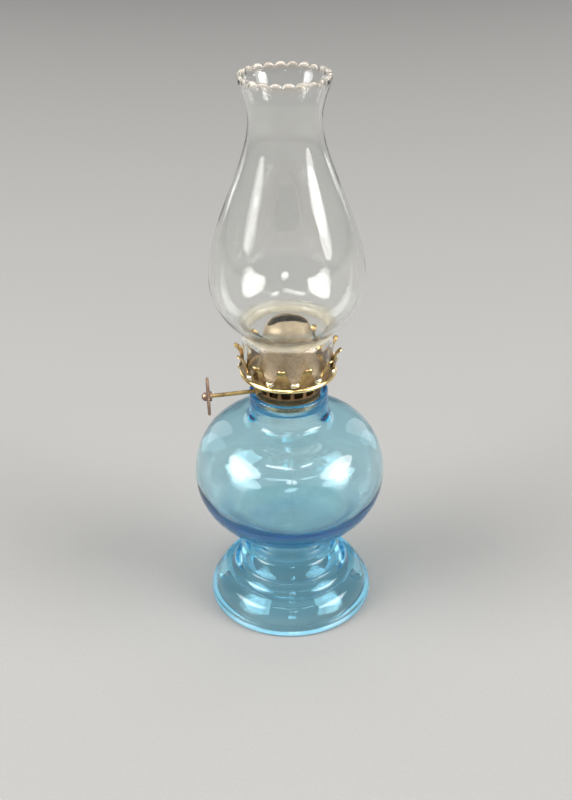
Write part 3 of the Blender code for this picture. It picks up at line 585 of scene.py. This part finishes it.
def build_chimney():
    outer, rim, inside = chimney_profile()
    n_outer, n_rim = len(outer), len(outer) + len(rim)

    def shape(r, z, a, i):
        x, y = r * math.cos(a), r * math.sin(a)
        keep = min(1.0, max(0.0, (z - 96.0) / 14.0))
        if i < n_outer:
            r += keep * (0.07 * ripple(x, y, z, 16.0, 7.7) + 0.012 * ripple(x, y, z, 6.0, 3.1))
        elif i >= n_rim:
            r += keep * (0.14 * ripple(x, y, z, 17.0, 2.9) + 0.02 * ripple(x, y, z, 6.0, 8.1))
        c = crimp(a)
        top = min(1.0, max(0.0, (z - 189.5) / 6.0)) ** 2
        flute = top * (0.30 * (c - 0.5))
        bead = 1.0 if z > 194.6 else max(0.0, (z - 192.6) / 2.0)
        uneven = 0.12 * math.sin(3 * a + 0.6) + 0.08 * math.sin(7 * a)
        drop = bead * (-CRIMP_DEPTH * (1.0 - c) + 0.5 * uneven - 0.1)
        return r + flute, min(z + drop, RIM_TOP)

    bm = lathe(outer + rim + inside, even_angles(CRIMPS * 12), shape, closed=True)
    obj = to_object("chimney_glass_shell", bm, clear, "chimney_glass", smooth_deg=180.0)
    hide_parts("chimney")
    return obj


# ================================================================ crown
CROWN_PRONGS = 12
CROWN_PHASE = -78.7
CROWN_SHEET = 0.42


def crown_line():
    seat = [(10.8, 94.55), (11.6, 94.55), (13.0, 94.5), (14.4, 94.5), (15.4, 94.42)]
    # the cup turns up over a small rolled lip
    seat += bezier((15.9, 94.4), (16.72, 94.35), (16.85, 95.15), (16.15, 95.45), 8)
    wall = bezier((16.05, 95.65), (15.95, 96.0), (16.15, 96.8), (16.2, 97.4), 5)
    prong = bezier((16.2, 97.4), (15.9, 100.6), (16.2, 102.4), (18.5, 103.6), 16, first=False)
    return seat, wall + prong


def along(path, distance):
    left = distance
    for a, b in zip(path, path[1:]):
        step = math.dist(a, b)
        if left <= step:
            t = left / step
            return (a[0] + (b[0] - a[0]) * t, a[1] + (b[1] - a[1]) * t)
        left -= step
    return path[-1]


def prong_share(off):
    """How far up the prong the sheet reaches, off degrees from its middle."""
    d = abs(off)
    if d < 4.0:
        return 1.0 - 0.10 * (d / 4.0) ** 4
    if d < 6.8:
        return 0.90 - 0.62 * (d - 4.0) / 2.8
    t = min(1.0, (d - 6.8) / 5.0)
    return 0.28 * (1 - t) ** 1.8


def build_crown():
    seat, rise = crown_line()
    full = sum(math.dist(a, b) for a, b in zip(rise, rise[1:]))
    valley = 0.0
    for a, b in zip(rise, rise[1:]):
        if b[1] > 98.3:
            break
        valley += math.dist(a, b)
    pitch = 360.0 / CROWN_PRONGS
    half = [1.5, 2.9, 4.0, 4.7, 5.4, 6.1, 6.8, 7.8, 8.9, 10.2, 11.6, 13.2]
    offsets = [-15.0] + [-d for d in reversed(half)] + [0.0] + half
    rows = 18
    columns = []
    for k in range(CROWN_PRONGS):
        for off in offsets:
            a = math.radians(CROWN_PHASE + pitch * k + off)
            height = valley + (full - valley) * prong_share(off)
            tilt = 0.10 * math.sin(2.4 * k + 1.0)
            column = []
            for r, z in list(seat) + [along(rise, height * i / rows) for i in range(rows + 1)]:
                # a pressed knuckle between neighbouring prongs, and a shallow rib up each prong's middle
                knuckle = 1.2 * math.exp(-((15.0 - abs(off)) / 4.4) ** 2 - ((z - 97.3) / 1.0) ** 2)
                knuckle -= 0.30 * math.exp(-(off / 7.0) ** 2 - ((z - 96.6) / 0.8) ** 2)
                rib = 0.20 * math.exp(-(off / 1.9) ** 2) * min(1.0, max(0.0, (z - 97.0) / 2.0)) * min(1.0, max(0.0, (104.6 - z) / 2.5))
                lean = tilt * max(0.0, (z - 98.0) / 6.0)
                rr = r + (knuckle + rib + lean if z > 95.2 else 0.0)
                column.append((rr * math.cos(a), rr * math.sin(a), z))
            columns.append(column)
    bm = bmesh.new()
    grid = [[bm.verts.new(p) for p in column] for column in columns]
    for a, b in zip(grid, grid[1:] + grid[:1]):
        for j in range(len(a) - 1):
            bm.faces.new((a[j], b[j], b[j + 1], a[j + 1]))
    obj = to_object("crown_brass", bm, gilt, "burner", smooth_deg=180.0)
    sheet = obj.modifiers.new("sheet", "SOLIDIFY")
    sheet.thickness = CROWN_SHEET * MM
    sheet.offset = 0.0
    apply_modifiers(obj)
    edge = obj.modifiers.new("edge", "BEVEL")
    edge.width = 0.09 * MM
    edge.segments = 2
    edge.angle_limit = math.radians(50)
    apply_modifiers(obj)
    obj.data.shade_smooth()
    obj.data.set_sharp_from_angle(angle=math.radians(50))
    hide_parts("gallery_crown")
    return obj


# ================================================================ dome
def build_dome():
    t = 0.5
    inside = bezier((0.0, 114.0), (7.2, 114.0), (8.6, 110.2), (8.7, 103.0), 16)
    inside += bezier((8.7, 103.0), (8.8, 100.4), (9.1, 98.0), (10.1, 96.3), 8, first=False)
    inside += [(10.9, 95.3), (11.2, 95.1)]
    outside = [(13.45, 95.1), (13.6, 95.3), (13.55, 95.55), (12.6, 95.62), (11.9, 95.7)]
    outside += bezier((10.9, 96.3), (9.7, 98.2), (9.3, 100.6), (9.2, 103.0), 8)
    outside += bezier((9.2, 103.0), (9.1, 110.6), (7.6, 114.5), (0.0, 114.5), 18, first=False)
    bm = lathe(inside + outside, even_angles(96))
    obj = to_object("dome_brass", bm, dome_brass, "burner", smooth_deg=180.0)
    turn = math.radians(-8.0)           # the dome is pressed on, and sits a little turned
    outline = [(x * math.cos(turn) - y * math.sin(turn), x * math.sin(turn) + y * math.cos(turn))
               for x, y in slot_outline(14.0, 5.0, 10)]
    slot = grid_bmesh([[(x, y, z) for x, y in outline] for z in (107.0, 116.5)])
    for ring in (slot.verts[:len(outline)], slot.verts[len(outline):]):
        slot.faces.new(ring)
    subtract(obj, [slot])
    edge = obj.modifiers.new("edge", "BEVEL")
    edge.width = 0.12 * MM
    edge.segments = 2
    edge.angle_limit = math.radians(50)
    apply_modifiers(obj)
    obj.data.shade_smooth()
    obj.data.set_sharp_from_angle(angle=math.radians(45))
    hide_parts("flame_dome")
    return obj


# ================================================================ band
def build_band():
    out, inn = 11.25, 10.8
    profile = [(inn + 0.02, 86.4), (out - 0.12, 86.4), (out, 86.55), (out, 88.2), (out + 0.10, 88.45), (out + 0.10, 88.75), (out, 89.0),
               (out, 93.85), (out - 0.1, 94.0), (inn, 94.0), (inn, 90.0)]
    bm = lathe(profile, even_angles(192), closed=True)
    obj = to_object("band_brass", bm, band, "burner", smooth_deg=35.0)
    cutters = []
    shaft_place = math.degrees(math.atan2(-3.05, -math.sqrt(out ** 2 - 3.05 ** 2)))
    width = 2 * out * math.sin(math.radians(8.2))
    for k in range(16):
        deg = -106.0 + 22.5 * k
        off = (deg - shaft_place + 180.0) % 360.0 - 180.0
        if abs(off) < 11.25:
            continue
        low = out * math.sin(math.radians(max(-8.2, 9.4 - off))) if off > 0 else -width / 2
        box = box_bmesh((inn - 0.6, low, 89.1), (out + 1.0, width / 2, 93.0))
        corners = [e for e in box.edges if abs(e.verts[0].co.x - e.verts[1].co.x) > 0.5]
        bmesh.ops.bevel(box, geom=corners, offset=0.5, segments=3, affect="EDGES", profile=0.5)
        bmesh.ops.rotate(box, cent=(0, 0, 0), matrix=Matrix.Rotation(math.radians(deg), 3, "Z"), verts=box.verts[:])
        cutters.append(box)
    joined = bmesh.new()
    for box in cutters:
        temp = bpy.data.meshes.new("temp")
        box.to_mesh(temp)
        box.free()
        joined.from_mesh(temp)
        bpy.data.meshes.remove(temp)
    hole = bmesh.new()
    bmesh.ops.create_cone(hole, cap_ends=True, segments=24, radius1=1.35, radius2=1.35, depth=6.0,
                          matrix=turn_to_x(-11.0, -3.05, 89.3))
    subtract(obj, [joined, hole])
    obj.data.shade_smooth()
    obj.data.set_sharp_from_angle(angle=math.radians(35))
    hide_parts("air_band")
    return obj


# ================================================================ wick raiser
SHAFT_Y, SHAFT_Z = -3.05, 89.3
WHEEL_SKEW = -5.0                    # the wheel sits a little crooked on its rod


def build_shaft():
    profile = [(0.0, -28.9), (0.55, -28.9), (0.7, -28.7)]
    x = -27.0
    while x < 6.4:
        profile.append((0.7, x))
        x += 1.6
    profile += [(0.7, 6.9), (0.3, 7.3), (0.0, 7.3)]

    def shape(r, z, a, i):
        return r * (1.0 + 0.01 * ripple(z, r * math.cos(a), r * math.sin(a), 2.0, 1.0)), z

    bm = lathe(profile, even_angles(28), shape)
    bmesh.ops.transform(bm, matrix=turn_to_x(0, SHAFT_Y, SHAFT_Z), verts=bm.verts[:])
    obj = to_object("shaft_brass", bm, dark, "wick_raiser", smooth_deg=40.0)
    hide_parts("wick_shaft")
    return obj


def build_wheel():
    """Milled wheel with a raised rim on both faces and a short hub."""
    teeth, steps = 56, 4
    r = 6.5
    profile = [(0.95, -29.0), (1.9, -29.0), (2.3, -28.85), (4.9, -28.82), (5.25, -29.0), (6.3, -29.0), (r, -28.88),
               (r, -28.22), (6.3, -28.1), (5.25, -28.1), (4.9, -28.28), (2.3, -28.25), (1.8, -28.1), (1.6, -27.3), (0.95, -27.3)]

    def shape(rad, z, a, i):
        if rad > 6.2:
            tooth = 0.5 + 0.5 * math.cos(a * teeth)
            return rad - 0.20 * (1 - tooth) * (rad - 5.9) / 0.6, z
        return rad, z

    bm = lathe(profile, even_angles(teeth * steps), shape, closed=True)
    bmesh.ops.transform(bm, matrix=turn_to_x(0, SHAFT_Y, SHAFT_Z), verts=bm.verts[:])
    middle = Vector((-28.55, SHAFT_Y, SHAFT_Z))
    bmesh.ops.rotate(bm, cent=middle, matrix=Matrix.Rotation(math.radians(WHEEL_SKEW), 3, "Z"), verts=bm.verts[:])
    obj = to_object("wheel_brass", bm, copper, "wick_raiser", smooth_deg=45.0)
    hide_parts("thumbwheel")
    rivet = [(0.0, -29.3), (1.5, -29.3), (1.58, -29.45), (1.5, -29.7)] + \
        bezier((1.4, -29.85), (1.2, -30.3), (0.9, -30.8), (0.0, -30.8), 8)
    bm = lathe(rivet, even_angles(32))
    bmesh.ops.transform(bm, matrix=turn_to_x(0, SHAFT_Y, SHAFT_Z), verts=bm.verts[:])
    end = to_object("wheel_rivet", bm, copper, "wick_raiser", smooth_deg=50.0)
    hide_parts("thumbwheel_rivet")
    return obj


# ================================================================ wick
def build_wick():
    """Flat woven strip; its top is charred and slightly ragged."""
    outline = []
    for x, y in resample(slot_outline(12.0, 1.8, 6) + [slot_outline(12.0, 1.8, 6)[0]], 0.42)[:-1]:
        outline.append((x, y))
    rings = []
    z = 75.5
    while z < 111.4:
        rings.append(z)
        z += 0.6
    rings.append(111.5)
    rows = []
    for i, z in enumerate(rings):
        row = []
        for j, (x, y) in enumerate(outline):
            weave = 0.05 * math.sin(i * math.pi) + 0.045 * math.cos(math.pi * (j + i))
            scale = 1.0 + weave / max(0.9, abs(y) + 0.6)
            dz = 0.0
            if i == len(rings) - 1:
                dz = 0.28 * noise.noise(Vector((x * 1.7, y * 1.7, 0.3)))
            row.append((min(6.0, max(-6.0, x * (1.0 + 0.002 * weave))), max(-0.9, min(0.9, y * scale * 0.96)), z + dz))
        rows.append(row)
    bm = grid_bmesh(rows)
    bm.verts.ensure_lookup_table()
    n = len(outline)
    bm.faces.new(bm.verts[:n])
    top = bm.faces.new(bm.verts[-n:])
    bmesh.ops.triangulate(bm, faces=[top])
    obj = to_object("wick_cotton_strip", bm, cotton, "wick_strip", smooth_deg=50.0)
    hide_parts("wick")
    return obj


build_font()
build_chimney()
build_crown()
build_dome()
build_band()
build_shaft()
build_wheel()
build_wick()

# CAD nodes that keep their mesh
for name, material in (("screw_ring", inner), ("floor_plate", inner), ("diffuser_plate", inner), ("wick_tube", inner),
                       ("tube_ferrule", inner), ("vent_tube", inner), ("sprocket_housing", inner),
                       ("shaft_bushing", aged), ("star_wheel_left", dark), ("star_wheel_right", dark),
                       ("shaft_collar", dark)):
    mesh = nodes[name].data
    mesh.materials.clear()
    mesh.materials.append(material)
    mesh.shade_smooth()
    mesh.set_sharp_from_angle(angle=math.radians(35))


# ================================================================ stage
def floor():
    m = Nodes("floor_paper")
    m.set(Metallic=0.0, IOR=1.4, Specular_IOR_Level=0.3)
    grain = m.noise(900.0, 3.0)
    m.into("Base Color", m.mix(m.remap(grain, 0.3, 0.7), (0.315, 0.31, 0.30), (0.33, 0.325, 0.315)))
    m.into("Roughness", m.remap(grain, 0.3, 0.7, 0.75, 0.85))
    m.into("Normal", m.bump(grain, 0.05, 0.0001))
    mesh = bpy.data.meshes.new("floor")
    s = 6.0
    mesh.from_pydata([(-s, -s, 0), (s, -s, 0), (s, s, 0), (-s, s, 0)], [], [(0, 1, 2, 3)])
    mesh.materials.append(m.material)
    obj = bpy.data.objects.new("floor", mesh)
    bpy.context.scene.collection.objects.link(obj)
    obj.location.z = -0.0002


def softbox(name, azimuth, elevation, distance, size, radiance, colour):
    """A soft area lamp. Azimuth is from the camera's side of the lamp, + to the right."""
    a, e = math.radians(-101.2 + azimuth), math.radians(elevation)
    centre = Vector((0.0, 0.0, 0.07))
    place = centre + distance * Vector((math.cos(a) * math.cos(e), math.sin(a) * math.cos(e), math.sin(e)))
    data = bpy.data.lights.new(name, "AREA")
    data.shape = "ELLIPSE"
    data.size, data.size_y = size
    data.energy = radiance * math.pi * math.pi / 4.0 * size[0] * size[1]
    data.color = colour
    obj = bpy.data.objects.new(name, data)
    obj.location = place
    obj.rotation_euler = (centre - place).to_track_quat("-Z", "Y").to_euler()
    obj.visible_camera = False
    bpy.context.scene.collection.objects.link(obj)


def camera():
    turn = math.radians(-11.2)
    pitch, roll = math.radians(30.27), math.radians(-0.806)
    forward = Vector((0.0, math.cos(pitch), -math.sin(pitch)))
    up = Vector((0.0, math.sin(pitch), math.cos(pitch)))
    right = Vector((1.0, 0.0, 0.0))
    x = math.cos(roll) * right + math.sin(roll) * up
    y = -math.sin(roll) * right + math.cos(roll) * up
    basis = Matrix((x, y, -forward)).transposed().to_4x4()
    basis.translation = Vector((-0.0009, -0.34237, 0.28228))
    data = bpy.data.cameras.new("camera")
    data.lens = 50.87
    data.sensor_width = 36.0
    data.sensor_fit = "AUTO"
    data.clip_start = 0.01
    obj = bpy.data.objects.new("camera", data)
    obj.matrix_world = Matrix.Rotation(turn, 4, "Z") @ basis
    bpy.context.scene.collection.objects.link(obj)
    bpy.context.scene.camera = obj


floor()
for side, name in ((-1.0, "left"), (1.0, "right")):
    drop = 0.0 if side < 0 else 4.5
    for part, azimuth, elevation, half_wide, half_tall, radiance in (("high", 72.0, 40.0, 24.0, 12.0, 8.5), ("middle", 70.0, 31.0, 17.0, 12.0, 5.0),
                                                                     ("low", 67.0, 20.0, 9.5, 10.0, 4.6)):
        size = (3.2 * math.tan(math.radians(half_wide)), 3.2 * math.tan(math.radians(half_tall)))
        softbox(name + "_" + part, side * azimuth, elevation - drop, 1.6, size, radiance, (1.0, 0.99, 0.97))
softbox("soft_centre", 3.0, 36.0, 1.2, (0.24, 0.24), 12.0, (1.0, 1.0, 1.0))
softbox("bar_left", -22.0, 65.0, 1.2, (0.64, 0.12), 11.0, (1.0, 1.0, 1.0))
softbox("bar_right", 40.0, 65.0, 1.2, (0.30, 0.10), 11.0, (1.0, 1.0, 1.0))
softbox("rim_left", -142.0, 10.0, 1.4, (0.5, 1.3), 1.3, (1.0, 1.0, 1.0))
softbox("rim_right", 142.0, 10.0, 1.4, (0.5, 1.3), 1.3, (1.0, 1.0, 1.0))
softbox("soft_top", 170.0, 74.0, 1.3, (0.9, 0.7), 2.0, (1.0, 0.99, 0.98))
camera()

scene = bpy.context.scene
world = bpy.data.worlds.new("studio")
world.use_nodes = True
world.node_tree.nodes["Background"].inputs["Color"].default_value = (0.26, 0.265, 0.275, 1.0)
world.node_tree.nodes["Background"].inputs["Strength"].default_value = 1.0
scene.world = world
scene.view_settings.view_transform = "Standard"
scene.view_settings.look = "None"
scene.view_settings.exposure = 0.0
scene.cycles.use_denoising = True
scene.cycles.max_bounces = 24
scene.cycles.transmission_bounces = 24
scene.cycles.glossy_bounces = 8
scene.cycles.transparent_max_bounces = 16
scene.cycles.sample_clamp_indirect = 8.0
scene.cycles.blur_glossy = 0.4
